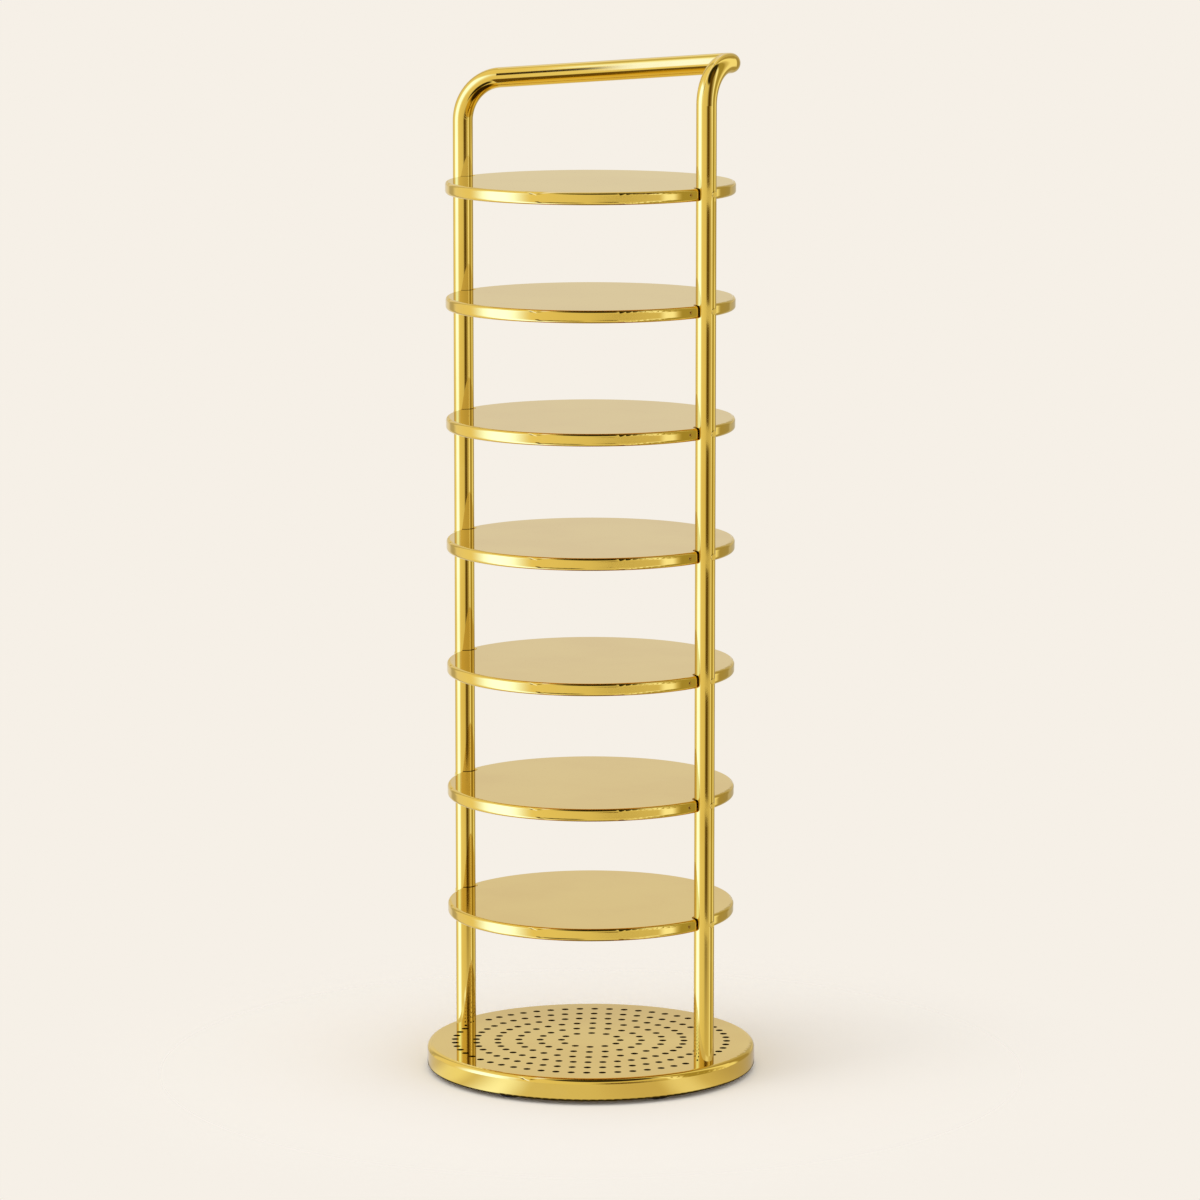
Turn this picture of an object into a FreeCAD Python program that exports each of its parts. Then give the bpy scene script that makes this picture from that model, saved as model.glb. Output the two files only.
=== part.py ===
"""Round shoe rack: a weighted perforated base, two tube posts that end in one bent handle,
and seven round pan shelves that hang on the posts.

Frame: +X from the left post to the right post, +Y to the back, +Z up, millimetres.
The origin is on the axis of the discs, at the floor.
"""

import FreeCAD, Part
import math
import os

import Sketcher

SHELF_COUNT = 7
PERFORATION_RINGS = 6
SIDES = {"right": 1, "left": -1}

SIZES = [
    # Shelves
    ("shelf_radius", 150.0, "outer radius of a shelf pan"),
    ("shelf_height", 13.0, "height of a shelf pan's rim"),
    ("shelf_sheet", 1.2, "sheet of the shelf pans"),
    ("shelf_roll", 3.5, "outer radius of the rolled rim, top and bottom"),
    ("shelf_lip", 6.0, "lip rolled in under the underplate"),
    ("underplate_sheet", 1.2, "sheet of the underplates"),
    ("gap_1", 139.0, "clear height from the base to shelf 1"),
    ("gap_2", 112.0, "clear height under shelf 2"),
    ("gap_3", 117.0, "clear height under shelf 3"),
    ("gap_4", 116.0, "clear height under shelf 4"),
    ("gap_5", 114.0, "clear height under shelf 5"),
    ("gap_6", 112.0, "clear height under shelf 6"),
    ("gap_7", 106.0, "clear height under shelf 7"),
    # Posts and handle
    ("tube_radius", 10.5, "outer radius of the posts and the handle"),
    ("tube_wall", 1.2, "wall of the tube"),
    ("post_setback", 14.5, "how far the posts stand in front of the disc axis"),
    ("handle_rise_left", 99.6, "top shelf to the handle's left corner"),
    ("handle_rise_right", 124.0, "top shelf to the handle's level run"),
    ("handle_run", 59.1, "level run from the elbow to the right post"),
    ("bend_left", 46.0, "centre line radius of the left bend"),
    ("bend_elbow", 14.7, "centre line radius of the elbow"),
    ("bend_right", 40.5, "centre line radius of the right bend"),
    ("sleeve_length", 70.0, "length of a joiner sleeve"),
    ("sleeve_wall", 2.0, "wall of a joiner sleeve"),
    # Shelf joints
    ("notch_gap", 2.2, "gap between a post and the notch in a shelf"),
    ("bush_margin", 0.4, "room above and below a bush inside its shelf"),
    ("bush_socket", 2.0, "depth of a bush in its saddle"),
    ("pin_radius", 2.0, "shank radius of a cross pin"),
    ("pin_engagement", 10.0, "cross pin in the saddle, past the notch"),
    ("pin_head_radius", 3.5, "radius of a cross pin's domed head"),
    ("pin_head_height", 1.4, "height of a cross pin's head"),
    ("pin_head_dome", 0.9, "rounding of a cross pin's head"),
    ("rim_screw_pitch", 23.0, "rim screw from its post, along the rim"),
    ("rim_screw_radius", 2.0, "radius of a rim screw"),
    ("rim_screw_length", 11.0, "length of a rim screw"),
    ("rim_screw_sink", 0.4, "rim screw below the face of the rim"),
    ("rim_screw_socket", 1.15, "corner radius of a rim screw's hex socket"),
    ("saddle_margin", 6.0, "saddle beyond the rim screw"),
    # Base
    ("base_overhang", 22.3, "base beyond the shelves"),
    ("base_height", 23.5, "height of the base pan"),
    ("base_sheet", 1.5, "sheet of the base pan"),
    ("base_top_roll", 5.5, "outer radius of the base pan's top edge"),
    ("base_foot_roll", 2.5, "outer radius of the base pan's bottom edge"),
    ("base_lip", 8.0, "lip rolled in under the base plate"),
    ("base_lift", 4.5, "height of the base pan above the floor"),
    ("base_plate_sheet", 1.5, "sheet of the base plate"),
    ("ballast_height", 8.0, "thickness of the ballast plate"),
    ("ballast_gap", 4.5, "ballast plate inside the base pan's wall"),
    ("foot_count", 6, "number of foot pads"),
    ("foot_radius", 12.5, "radius of a foot pad"),
    ("foot_inset", 25.0, "foot pad centre inside the base's edge"),
    ("plate_screw_count", 6, "number of base plate screws"),
    ("plate_screw_circle", 90.0, "radius of the base plate screws' circle"),
    ("plate_screw_radius", 2.5, "radius of a base plate screw"),
    ("plate_screw_length", 8.0, "length of a base plate screw"),
    ("plate_screw_head", 4.75, "head radius of a base plate screw"),
    ("plate_screw_head_height", 2.75, "head height of a base plate screw"),
    ("perforation_radius", 3.8, "radius of a perforation"),
    ("perforation_pitch", 16.0, "spacing of the perforations along a ring"),
    ("perforation_first", 31.0, "radius of the innermost ring"),
    ("perforation_margin", 29.0, "outermost ring inside the base's edge"),
    ("perforation_turn", 31.4, "angle of each ring's first hole"),
    ("perforation_land", 2.0, "metal kept between a post and a perforation"),
    # Post feet
    ("plug_length", 25.0, "length of the threaded plug in a post"),
    ("thread_runout", 2.0, "thread beyond the end of the bolt"),
    ("bolt_radius", 4.0, "radius of a post bolt"),
    ("bolt_length", 35.0, "length of a post bolt under its head"),
    ("bolt_head_radius", 7.0, "head radius of a post bolt"),
    ("bolt_head_height", 4.4, "head height of a post bolt"),
    ("bolt_socket", 2.9, "corner radius of a post bolt's hex socket"),
    ("bolt_socket_depth", 2.4, "depth of a post bolt's hex socket"),
    ("bolt_recess", 5.0, "counterbore in the ballast plate"),
    ("counterbore_radius", 9.0, "radius of the counterbore"),
    ("washer_radius", 8.0, "radius of a washer"),
    ("washer_height", 1.6, "thickness of a washer"),
    ("spacer_radius", 8.0, "outer radius of a post spacer"),
    # Clearances
    ("fit_gap", 0.1, "radial clearance of a fitted pair"),
    ("hole_gap", 0.3, "radial clearance of a bolt or screw hole"),
    ("cover_gap", 0.3, "clearance round a plate in its pan"),
    ("contact_gap", 0.05, "clearance of a bush against its post"),
]


def make_sheet(doc):
    """The driving dimensions: one alias per size."""
    table = doc.addObject("Spreadsheet::Sheet", "Sizes")
    for row, (alias, value, meaning) in enumerate(SIZES, start=1):
        table.set(f"A{row}", meaning)
        table.set(f"B{row}", str(value))
        table.setAlias(f"B{row}", alias)
    doc.recompute()
    return table


def sized(text):
    """Put the sheet's name before every alias in an expression."""
    for alias in sorted((row[0] for row in SIZES), key=len, reverse=True):
        text = text.replace("[" + alias + "]", "Sizes." + alias)
    return text


def number(text):
    """The value of an expression, in millimetres or degrees."""
    result = sheet.evalExpression(sized(text))
    return float(getattr(result, "Value", result))


def bind(thing, prop, text):
    thing.setExpression(prop, sized(text))


# Places worked out from the driving dimensions
POST_X = "sqrt(pow([shelf_radius]; 2) - pow([post_setback]; 2))"
POST_TURN = "(asin([post_setback] / [shelf_radius]) / 1deg)"
BASE_RADIUS = "([shelf_radius] + [base_overhang])"
BASE_TOP = "([base_lift] + [base_height])"
PLATE_LOW = "([base_lift] + [base_sheet])"
PLATE_TOP = f"({PLATE_LOW} + [base_plate_sheet])"
BALLAST_TOP = f"({PLATE_TOP} + [ballast_height])"
WASHER_TOP = f"({PLATE_TOP} + [bolt_recess])"
BOLT_HEAD_TOP = f"({WASHER_TOP} - [washer_height])"
NOTCH_RADIUS = "([tube_radius] + [notch_gap])"
SADDLE_RADIUS = "([rim_screw_pitch] + [saddle_margin])"
PIN_SEAT = "sqrt(pow([tube_radius]; 2) - pow([pin_head_radius]; 2))"
SADDLE_MIDDLE = "(([shelf_height] + [underplate_sheet]) / 2)"
BUSH_RADIUS = "(([shelf_height] - 2 * [shelf_sheet] - [underplate_sheet]) / 2 - [bush_margin])"
RIM_SCREW_TURN = f"({POST_TURN} + [rim_screw_pitch] / [shelf_radius] * 180 / pi)"
OVERRUN = 1.0


def shelf_low(index):
    """Height of the underside of shelf 1, 2 and so on."""
    gaps = " + ".join(f"[gap_{step}]" for step in range(1, index + 1))
    return f"({BASE_TOP} + {gaps} + {index - 1} * [shelf_height])"


SEAM = shelf_low(SHELF_COUNT)
TOP_SHELF = f"({SEAM} + [shelf_height])"


def at_post(side, height):
    """A place on a post's axis, at that height."""
    return (f"{SIDES[side]} * {POST_X}", "-[post_setback]", height)


def outward(side, turn=POST_TURN):
    """The angle of a radius that lies that many degrees in front of the rack's +X or -X side."""
    return f"(-{turn})" if side == "right" else f"(180 + {turn})"


def new_body(label):
    body = doc.addObject("PartDesign::Body", label)
    body.Label = label
    parts.append(body)
    return body


def origin(body, role):
    """A plane or axis of the body's own origin."""
    return next(item for item in body.Origin.OriginFeatures if item.Role == role)


def new_sketch(body, name, role):
    sketch = body.newObject("Sketcher::SketchObject", name)
    sketch.AttachmentSupport = [(origin(body, role), "")]
    sketch.MapMode = "FlatFace"
    return sketch


def datum(sketch, constraint, text):
    """Add a constraint whose value follows an expression."""
    index = sketch.addConstraint(constraint)
    sketch.setExpression(f"Constraints[{index}]", sized(text))


def circle(sketch, radius, x="0", y="0"):
    """A circle whose radius and centre are bound to the sheet."""
    centre = FreeCAD.Vector(number(x), number(y), 0)
    ring = sketch.addGeometry(Part.Circle(centre, FreeCAD.Vector(0, 0, 1), number(radius)))
    datum(sketch, Sketcher.Constraint("Radius", ring, number(radius)), radius)
    if x == "0" and y == "0":
        sketch.addConstraint(Sketcher.Constraint("Coincident", ring, 3, -1, 1))
    else:
        datum(sketch, Sketcher.Constraint("DistanceX", -1, 1, ring, 3, centre.x), x)
        datum(sketch, Sketcher.Constraint("DistanceY", -1, 1, ring, 3, centre.y), y)


def outline(sketch, points, edges):
    """A closed outline through named points: each edge is (from, to) for a line,
    or (from, to, centre, radius) for an arc of up to a half circle."""
    placed, rules, bound = {}, [], {}

    def rule(*definition, text=None):
        if text is not None:
            bound[len(rules)] = text
        rules.append(Sketcher.Constraint(*definition))

    def place(name, geometry, end):
        if name in placed:
            rule("Coincident", geometry, end, *placed[name])
            return
        placed[name] = (geometry, end)
        for kind, axis, text in (("DistanceX", -2, points[name][0]), ("DistanceY", -1, points[name][1])):
            if text == "0":
                rule("PointOnObject", geometry, end, axis)
            else:
                rule(kind, -1, 1, geometry, end, number(text), text=text)

    spots = {name: FreeCAD.Vector(number(x), number(y), 0) for name, (x, y) in points.items()}
    for edge in edges:
        first, last = edge[0], edge[1]
        if len(edge) == 2:
            line = sketch.addGeometry(Part.LineSegment(spots[first], spots[last]))
            place(first, line, 1)
            place(last, line, 2)
            continue
        centre, radius = spots[edge[2]], edge[3]
        angles = [math.atan2(spots[n].y - centre.y, spots[n].x - centre.x) for n in (first, last)]
        if (angles[1] - angles[0]) % (2 * math.pi) > math.pi:
            first, last = last, first
            angles.reverse()
        round_edge = Part.Circle(centre, FreeCAD.Vector(0, 0, 1), number(radius))
        arc = sketch.addGeometry(Part.ArcOfCircle(round_edge, angles[0], angles[1]))
        place(first, arc, 1)
        place(last, arc, 2)
        rule("Radius", arc, number(radius), text=radius)
    sketch.addConstraint(rules)
    for index, text in bound.items():
        sketch.setExpression(f"Constraints[{index}]", sized(text))


def revolve(body, sketch, kind="PartDesign::Revolution"):
    feature = body.newObject(kind, sketch.Name + "_turned")
    feature.Profile = sketch
    feature.ReferenceAxis = (sketch, ["V_Axis"])
    feature.Angle = 360
    return feature


def cylinder(body, name, radius, length, at=("0", "0", "0"), turn=None, cut=False, prism=False):
    """An upright cylinder or hex prism, or a level one that points outward at an angle."""
    shape = "Prism" if prism else "Cylinder"
    feature = body.newObject(f"PartDesign::{'Subtractive' if cut else 'Additive'}{shape}", name)
    feature.AttachmentSupport = [(origin(body, "XY_Plane"), "")]
    feature.MapMode = "FlatFace"
    bind(feature, "Circumradius" if prism else "Radius", radius)
    bind(feature, "Height", length)
    for axis, text in zip("xyz", at):
        bind(feature, f"AttachmentOffset.Base.{axis}", text)
    if turn is not None:
        level = f"rotation(vector(0; 0; 1); {turn}) * rotation(vector(0; 1; 0); 90)"
        bind(feature, "AttachmentOffset.Rotation", level)
    return feature


def radial(body, name, radius, start, end, height, turn, cut=True, prism=False):
    """A level cylinder along a radius of the disc, from one distance to another."""
    at = (f"({start}) * cos({turn})", f"({start}) * sin({turn})", height)
    return cylinder(body, name, radius, f"{end} - ({start})", at, turn, cut, prism)


def repeat(body, features, name, count, angle="360"):
    """Repeat features round the disc axis."""
    doc.recompute()
    pattern = body.newObject("PartDesign::PolarPattern", name)
    pattern.Originals = features
    pattern.Axis = (origin(body, "Z_Axis"), [""])
    bind(pattern, "Angle", angle)
    bind(pattern, "Occurrences", count)
    body.Tip = pattern
    return pattern


def pan_section(body, name, radius, height, sheet_size, top_roll, low_roll, lip, low="0"):
    """The revolved section of a pan: top sheet, rolled rim and a lip turned in below."""
    top = f"{low} + {height}"
    points = {
        "axis_in": ("0", f"{top} - {sheet_size}"),
        "axis_out": ("0", top),
        "top_out": (f"{radius} - {top_roll}", top),
        "rim_top": (radius, f"{top} - {top_roll}"),
        "rim_low": (radius, f"{low} + {low_roll}"),
        "low_out": (f"{radius} - {low_roll}", low),
        "lip_out": (f"{radius} - {low_roll} - {lip}", low),
        "lip_in": (f"{radius} - {low_roll} - {lip}", f"{low} + {sheet_size}"),
        "low_in": (f"{radius} - {low_roll}", f"{low} + {sheet_size}"),
        "wall_low": (f"{radius} - {sheet_size}", f"{low} + {low_roll}"),
        "wall_top": (f"{radius} - {sheet_size}", f"{top} - {top_roll}"),
        "top_in": (f"{radius} - {top_roll}", f"{top} - {sheet_size}"),
        "top_centre": (f"{radius} - {top_roll}", f"{top} - {top_roll}"),
        "low_centre": (f"{radius} - {low_roll}", f"{low} + {low_roll}"),
    }
    edges = [
        ("axis_in", "axis_out"),
        ("axis_out", "top_out"),
        ("top_out", "rim_top", "top_centre", top_roll),
        ("rim_top", "rim_low"),
        ("rim_low", "low_out", "low_centre", low_roll),
        ("low_out", "lip_out"),
        ("lip_out", "lip_in"),
        ("lip_in", "low_in"),
        ("low_in", "wall_low", "low_centre", f"{low_roll} - {sheet_size}"),
        ("wall_low", "wall_top"),
        ("wall_top", "top_in", "top_centre", f"{top_roll} - {sheet_size}"),
        ("top_in", "axis_in"),
    ]
    sketch = new_sketch(body, name, "XZ_Plane")
    outline(sketch, points, edges)
    return revolve(body, sketch)


def notch(body, side, low, high):
    """The half-round bite that lets a post pass a shelf."""
    cylinder(body, f"{body.Name}_{side}_notch", NOTCH_RADIUS, f"{high} - ({low})", at_post(side, low), cut=True)


def round_head(body, name, radius, rounding):
    """Round the outer edge of a head: the circle of that radius farthest from the disc's centre."""
    doc.recompute()
    base = body.Tip
    rims = [
        (edge.CenterOfMass.Length, f"Edge{place}")
        for place, edge in enumerate(base.Shape.Edges, start=1)
        if edge.Curve.TypeId == "Part::GeomCircle" and abs(edge.Curve.Radius - number(radius)) < 1e-6
    ]
    dome = body.newObject("PartDesign::Fillet", name)
    dome.Base = (base, [max(rims)[1]])
    bind(dome, "Radius", rounding)


# Shelves: a pressed pan, the plate that closes it, and at each post a saddle inside,
# a spacer bush, a cross pin through the post and a small screw through the rim

SOCKET_LOW = f"([shelf_radius] - {NOTCH_RADIUS} - [bush_socket])"
PIN_TIP = f"([shelf_radius] - {NOTCH_RADIUS} - [pin_engagement])"
SCREW_FACE = "([shelf_radius] - [rim_screw_sink])"


def make_shelf_pan():
    body = new_body("shelf_1_pan")
    section = [f"{body.Name}_section", "[shelf_radius]", "[shelf_height]", "[shelf_sheet]"]
    pan_section(body, *section, "[shelf_roll]", "[shelf_roll]", "[shelf_lip]")
    for side in SIDES:
        notch(body, side, f"-{OVERRUN}", f"[shelf_height] + {OVERRUN}")
        wall = [f"[shelf_radius] - [shelf_sheet] - {OVERRUN}", f"[shelf_radius] + {OVERRUN}"]
        hole = f"{body.Name}_{side}_screw_hole"
        turn = outward(side, RIM_SCREW_TURN)
        radial(body, hole, "[rim_screw_radius] + [fit_gap]", *wall, SADDLE_MIDDLE, turn)
    return body


def make_underplate():
    body = new_body("shelf_1_underplate")
    disc = new_sketch(body, f"{body.Name}_disc", "XY_Plane")
    bind(disc, "AttachmentOffset.Base.z", "[shelf_sheet]")
    circle(disc, "[shelf_radius] - [shelf_roll] - [cover_gap]")
    plate = body.newObject("PartDesign::Pad", f"{body.Name}_pad")
    plate.Profile = disc
    bind(plate, "Length", "[underplate_sheet]")
    for side in SIDES:
        notch(body, side, "0", "[shelf_height]")
    return body


def trim_saddles(body):
    """Cut the saddles back to the inside of the pan's wall and rolled edges."""
    inner = "[shelf_radius] - [shelf_roll] - [fit_gap]"
    wall = "[shelf_radius] - [shelf_sheet] - [fit_gap]"
    beyond = f"[shelf_radius] + {SADDLE_RADIUS}"
    points = {
        "top_in": (inner, "[shelf_height]"),
        "top_turn": (inner, "[shelf_height] - [shelf_sheet]"),
        "wall_top": (wall, "[shelf_height] - [shelf_roll]"),
        "wall_low": (wall, "[shelf_roll]"),
        "low_turn": (inner, "[shelf_sheet]"),
        "low_in": (inner, "0"),
        "low_out": (beyond, "0"),
        "top_out": (beyond, "[shelf_height]"),
    }
    names = list(points)
    section = new_sketch(body, f"{body.Name}_trim", "XZ_Plane")
    outline(section, points, list(zip(names, names[1:] + names[:1])))
    revolve(body, section, "PartDesign::Groove")


def make_saddles():
    body = new_body("shelf_1_saddles")
    low = "([shelf_sheet] + [underplate_sheet])"
    tall = f"[shelf_height] - [shelf_sheet] - {low}"
    for side in SIDES:
        cylinder(body, f"{body.Name}_{side}_block", SADDLE_RADIUS, tall, at_post(side, low))
    trim_saddles(body)
    screw_end = f"{SCREW_FACE} - [rim_screw_length] - [fit_gap]"
    for side in SIDES:
        notch(body, side, "0", "[shelf_height]")
        for hole, radius, start, turn in (
            ("bush_socket", f"{BUSH_RADIUS} + [fit_gap]", SOCKET_LOW, outward(side)),
            ("pin_hole", "[pin_radius] + [fit_gap]", f"{PIN_TIP} - [fit_gap]", outward(side)),
            ("screw_hole", "[rim_screw_radius] + [fit_gap]", screw_end, outward(side, RIM_SCREW_TURN)),
        ):
            name = f"{body.Name}_{side}_{hole}"
            radial(body, name, radius, start, "[shelf_radius]", SADDLE_MIDDLE, turn)
    return body


def make_bushes():
    body = new_body("shelf_1_bushes")
    name = body.Name
    end = f"([shelf_radius] - sqrt(pow([tube_radius]; 2) - pow({BUSH_RADIUS}; 2)))"
    for side in SIDES:
        tube = [f"{name}_{side}_tube", BUSH_RADIUS, SOCKET_LOW, end, SADDLE_MIDDLE]
        radial(body, *tube, outward(side), cut=False)
    for side in SIDES:
        bore = [f"{name}_{side}_bore", "[pin_radius] + [fit_gap]", f"{SOCKET_LOW} - {OVERRUN}"]
        radial(body, *bore, "[shelf_radius]", SADDLE_MIDDLE, outward(side))
        hollow = [f"{name}_{side}_hollow", "[tube_radius] + [contact_gap]", "[shelf_height]"]
        cylinder(body, *hollow, at_post(side, "0"), cut=True)
    return body


def make_cross_pins():
    body = new_body("shelf_1_cross_pins")
    name = body.Name
    seat = f"([shelf_radius] + {PIN_SEAT})"
    for side in SIDES:
        turn = outward(side)
        head = [f"{name}_{side}_head", "[pin_head_radius]", seat, f"{seat} + [pin_head_height]"]
        radial(body, *head, SADDLE_MIDDLE, turn, cut=False)
        round_head(body, f"{name}_{side}_dome", "[pin_head_radius]", "[pin_head_dome]")
        radial(body, f"{name}_{side}_shank", "[pin_radius]", PIN_TIP, seat, SADDLE_MIDDLE, turn, cut=False)
    return body


def make_rim_screws():
    body = new_body("shelf_1_rim_screws")
    name = body.Name
    for side in SIDES:
        turn = outward(side, RIM_SCREW_TURN)
        shank = [f"{name}_{side}_shank", "[rim_screw_radius]", f"{SCREW_FACE} - [rim_screw_length]"]
        radial(body, *shank, SCREW_FACE, SADDLE_MIDDLE, turn, cut=False)
    for side in SIDES:
        turn = outward(side, RIM_SCREW_TURN)
        socket = [f"{name}_{side}_socket", "[rim_screw_socket]", f"{SCREW_FACE} - [rim_screw_radius]"]
        radial(body, *socket, f"{SCREW_FACE} + {OVERRUN}", SADDLE_MIDDLE, turn, prism=True)
    return body


def clone(first, index):
    """The same piece on a higher shelf, which follows the piece of shelf 1."""
    body = new_body(first.Label.replace("_1_", f"_{index}_"))
    body.newObject("PartDesign::FeatureBase", f"{body.Name}_copy").BaseFeature = first
    return body


def make_shelves():
    """Shelf 1 is drawn in full, and the shelves above it are clones of its pieces."""
    makers = [make_shelf_pan, make_underplate, make_saddles, make_bushes, make_cross_pins, make_rim_screws]
    first_shelf = [maker() for maker in makers]
    for index in range(1, SHELF_COUNT + 1):
        pieces = first_shelf if index == 1 else [clone(first, index) for first in first_shelf]
        for piece in pieces:
            bind(piece, "Placement.Base.z", shelf_low(index))


# Posts: straight tubes on the base, joined to the bent handle under the top shelf


def make_post(side):
    label = f"{side}_post"
    body = new_body(label)
    ring = new_sketch(body, f"{label}_ring", "XY_Plane")
    circle(ring, "[tube_radius]")
    circle(ring, "[tube_radius] - [tube_wall]")
    tube = body.newObject("PartDesign::Pad", f"{label}_tube")
    tube.Profile = ring
    bind(tube, "Length", f"{SEAM} - {BASE_TOP}")
    for index in range(1, SHELF_COUNT):
        height = f"{shelf_low(index)} + {SADDLE_MIDDLE} - {BASE_TOP}"
        for kind, radius, start in (
            ("pin_hole", "[pin_radius] + [fit_gap]", f"(-[tube_radius] - {OVERRUN})"),
            ("head_seat", "[pin_head_radius] + [fit_gap]", PIN_SEAT),
        ):
            name = f"{label}_{kind}_{index}"
            radial(body, name, radius, start, f"[tube_radius] + {OVERRUN}", height, outward(side))
    for axis, text in zip("xyz", at_post(side, BASE_TOP)):
        bind(body, f"Placement.Base.{axis}", text)


def bent_path(corners, radii):
    """Straight runs joined by tangent arcs."""
    edges = []
    start = corners[0]
    for before, corner, after, radius in zip(corners, corners[1:], corners[2:], radii):
        back = (before - corner).normalize()
        ahead = (after - corner).normalize()
        half_turn = (math.pi - back.getAngle(ahead)) / 2
        reach = radius * math.tan(half_turn)
        middle = (back + ahead).normalize()
        enter, leave = corner + back * reach, corner + ahead * reach
        inside = corner + middle * (radius / math.cos(half_turn) - radius)
        edges.append(Part.LineSegment(start, enter).toShape())
        edges.append(Part.Arc(enter, inside, leave).toShape())
        start = leave
    edges.append(Part.LineSegment(start, corners[-1]).toShape())
    return Part.Wire(edges)


def swept(path, radius):
    """A round bar of that radius along the path."""
    profile = Part.Wire(Part.makeCircle(radius, path.Vertexes[0].Point, FreeCAD.Vector(0, 0, 1)))
    return path.makePipeShell([profile], True, False)


def make_handle():
    """One bent tube: up from the left post, across in a slight slope to an elbow at the back,
    forward along a level run and down to the right post."""
    x, y = number(POST_X), -number("[post_setback]")
    seam, top = number(SEAM), number(TOP_SHELF)
    left, right = top + number("[handle_rise_left]"), top + number("[handle_rise_right]")
    corners = [
        FreeCAD.Vector(-x, y, seam),
        FreeCAD.Vector(-x, y, left),
        FreeCAD.Vector(x, y + number("[handle_run]"), right),
        FreeCAD.Vector(x, y, right),
        FreeCAD.Vector(x, y, seam),
    ]
    path = bent_path(corners, [number(f"[bend_{place}]") for place in ("left", "elbow", "right")])
    outer, bore = number("[tube_radius]"), number("[tube_radius] - [tube_wall]")
    tube = swept(path, outer).cut(swept(path, bore))
    expected = math.pi * (outer**2 - bore**2) * path.Length
    print("handle: volume over section times length", round(tube.Volume / expected, 4))
    hole, head = number("[pin_radius] + [fit_gap]"), number("[pin_head_radius] + [fit_gap]")
    seat, reach = number(PIN_SEAT), outer + OVERRUN
    for side, sign in SIDES.items():
        turn = math.radians(number(outward(side)))
        away = FreeCAD.Vector(math.cos(turn), math.sin(turn), 0)
        axis = FreeCAD.Vector(sign * x, y, seam + number(SADDLE_MIDDLE))
        tube = tube.cut(Part.makeCylinder(hole, 2 * reach, axis - away * reach, away))
        tube = tube.cut(Part.makeCylinder(head, reach - seat, axis + away * seat, away))
    feature = doc.addObject("Part::Feature", "handle")
    feature.Label = "handle"
    feature.Shape = tube
    feature.Placement = FreeCAD.Placement()
    parts.append(feature)


def make_joiner_sleeves():
    """Short inner tubes that line the handle up with the posts, held by the top shelf's pins."""
    body = new_body("joiner_sleeves")
    low = f"({SEAM} - [sleeve_length] / 2)"
    outer = "([tube_radius] - [tube_wall] - [fit_gap])"
    reach = ["([shelf_radius] - [tube_radius])", "[shelf_radius] + [tube_radius]"]
    for side in SIDES:
        cylinder(body, f"sleeve_{side}", outer, "[sleeve_length]", at_post(side, low))
    for side in SIDES:
        bore = [f"sleeve_{side}_bore", f"{outer} - [sleeve_wall]", "[sleeve_length]"]
        cylinder(body, *bore, at_post(side, low), cut=True)
        pin_hole = [f"sleeve_{side}_pin_hole", "[pin_radius] + [fit_gap]", *reach]
        radial(body, *pin_hole, f"{SEAM} + {SADDLE_MIDDLE}", outward(side))


# Base: a perforated pan over a ballast plate, closed by a base plate on foot pads


def ring_radius(ring):
    """Radius of perforation ring 0, 1 and so on, from the middle."""
    share = ring / (PERFORATION_RINGS - 1)
    outermost = f"({BASE_RADIUS} - [perforation_margin])"
    return f"([perforation_first] + {share} * ({outermost} - [perforation_first]))"


def perforate(body, ring):
    """One ring of holes. The outermost one leaves out the holes that a post would stand on."""
    radius = ring_radius(ring)
    count = f"(4 * round(2 * pi * {radius} / (4 * [perforation_pitch])))"
    step = f"(360 / {count})"
    low = f"{BASE_TOP} - [base_sheet] - {OVERRUN}"
    tall = f"[base_sheet] + 2 * {OVERRUN}"

    def hole(name, turn):
        at = (f"{radius} * cos({turn})", f"{radius} * sin({turn})", low)
        return cylinder(body, name, "[perforation_radius]", tall, at, cut=True)

    if ring < PERFORATION_RINGS - 1:
        first = hole(f"perforation_{ring}", "[perforation_turn]")
        repeat(body, [first], f"perforation_ring_{ring}", count)
        return
    kept = "([tube_radius] + [perforation_radius] + [perforation_land])"
    blocked = f"(asin({kept} / {radius}) / 1deg)"
    for side, start, end in (
        ("back", f"({blocked} - {POST_TURN})", f"(180 + {POST_TURN} - {blocked})"),
        ("front", f"(180 + {POST_TURN} + {blocked})", f"(360 - {POST_TURN} - {blocked})"),
    ):
        low_index = f"ceil(({start} - [perforation_turn]) / {step})"
        high_index = f"floor(({end} - [perforation_turn]) / {step})"
        first = hole(f"perforation_{side}", f"([perforation_turn] + {low_index} * {step})")
        holes = f"{high_index} - {low_index} + 1"
        repeat(body, [first], f"perforation_arc_{side}", holes, f"({high_index} - {low_index}) * {step}")


def make_base_pan():
    body = new_body("base_pan")
    section = ["base_pan_section", BASE_RADIUS, "[base_height]", "[base_sheet]"]
    pan_section(body, *section, "[base_top_roll]", "[base_foot_roll]", "[base_lip]", "[base_lift]")
    low, tall = f"{BASE_TOP} - [base_sheet] - {OVERRUN}", f"[base_sheet] + 2 * {OVERRUN}"
    for side in SIDES:
        hole = [f"base_pan_{side}_bolt_hole", "[bolt_radius] + [hole_gap]", tall]
        cylinder(body, *hole, at_post(side, low), cut=True)
    for ring in range(PERFORATION_RINGS):
        perforate(body, ring)


def screw_holes(body, radius, low, tall):
    """The ring of holes for the base plate screws."""
    at = ("[plate_screw_circle]", "0", f"{low} - {OVERRUN}")
    hole = cylinder(body, f"{body.Name}_screw_hole", radius, f"{tall} + 2 * {OVERRUN}", at, cut=True)
    repeat(body, [hole], f"{body.Name}_screw_holes", "[plate_screw_count]")


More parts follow.
